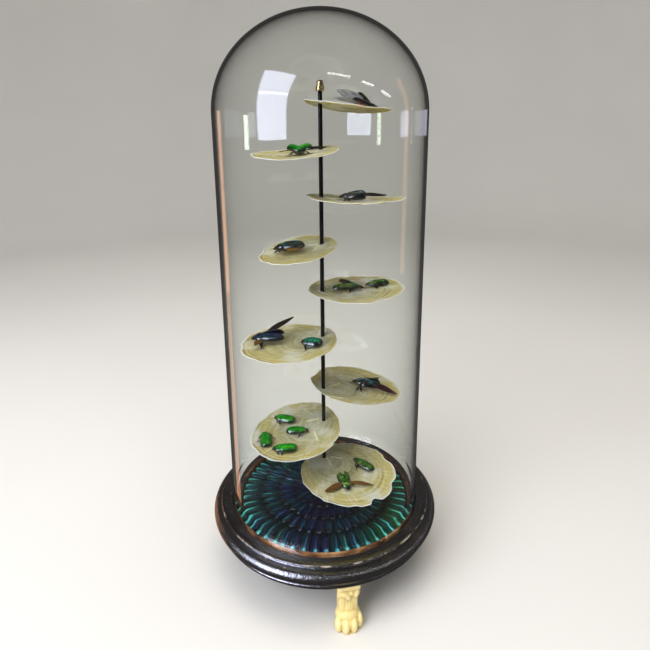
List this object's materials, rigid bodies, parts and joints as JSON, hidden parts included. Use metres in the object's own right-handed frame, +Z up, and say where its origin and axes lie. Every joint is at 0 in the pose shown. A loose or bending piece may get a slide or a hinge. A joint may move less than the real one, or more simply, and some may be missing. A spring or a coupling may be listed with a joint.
{
  "type": "beetle display in a glass dome",
  "caption": "Tall glass dome on a dark turned wood base with paw feet, holding dried beetles on pearly shell shelves threaded on a rod above a floor of iridescent wing cases.",
  "frame": {"origin": "middle of the base's plan, on the rod's axis, at the surface that the three feet stand on", "axes": "+Z up along the rod; -Y faces the viewer, towards the paw foot that is a little to the right; +X to the right"},
  "size_m": [0.2428, 0.2428, 0.567],
  "materials": {
    "ebonised_wood": "black-stained turned wood under worn gloss polish",
    "copper_brown_wood": "reddish-brown polished bead, worn to copper in front",
    "ivory_resin": "cast cream resin with ochre wash in the recesses",
    "dome_glass": "clear blown glass",
    "dark_steel": "drawn rod, blackened and lightly polished",
    "brass": "turned and polished",
    "oyster_shell": "translucent pearly shell with growth rings",
    "wing_case": "iridescent chitin, green to teal to violet",
    "beetle_green": "metallic green chitin",
    "beetle_dark": "blue-black to teal metallic chitin"
  },
  "bodies": {
    "root": {"turned_base": "ebonised_wood", "seat_ring": "copper_brown_wood", "paw_foot_front": "ivory_resin", "paw_foot_right": "ivory_resin", "paw_foot_left": "ivory_resin", "glass_dome": "dome_glass", "rod": "dark_steel", "brass_cap": "brass", "wing_case_bed": "wing_case", "oyster_shell_1": "oyster_shell", "oyster_shell_2": "oyster_shell", "oyster_shell_3": "oyster_shell", "oyster_shell_4": "oyster_shell", "oyster_shell_5": "oyster_shell", "oyster_shell_6": "oyster_shell", "oyster_shell_7": "oyster_shell", "oyster_shell_8": "oyster_shell", "oyster_shell_9": "oyster_shell", "beetle_2_green": "beetle_green", "beetle_5_left": "beetle_green", "beetle_5_right": "beetle_green", "beetle_6_round": "beetle_green", "beetle_8_back": "beetle_green", "beetle_8_front": "beetle_green", "beetle_8_left": "beetle_green", "beetle_8_middle": "beetle_green", "beetle_9_back": "beetle_green", "beetle_9_front": "beetle_green", "beetle_1_dark": "beetle_dark", "beetle_3_blue": "beetle_dark", "beetle_4_teal": "beetle_dark", "beetle_6_large": "beetle_dark", "beetle_7_blue": "beetle_dark"}
  },
  "joints": []
}
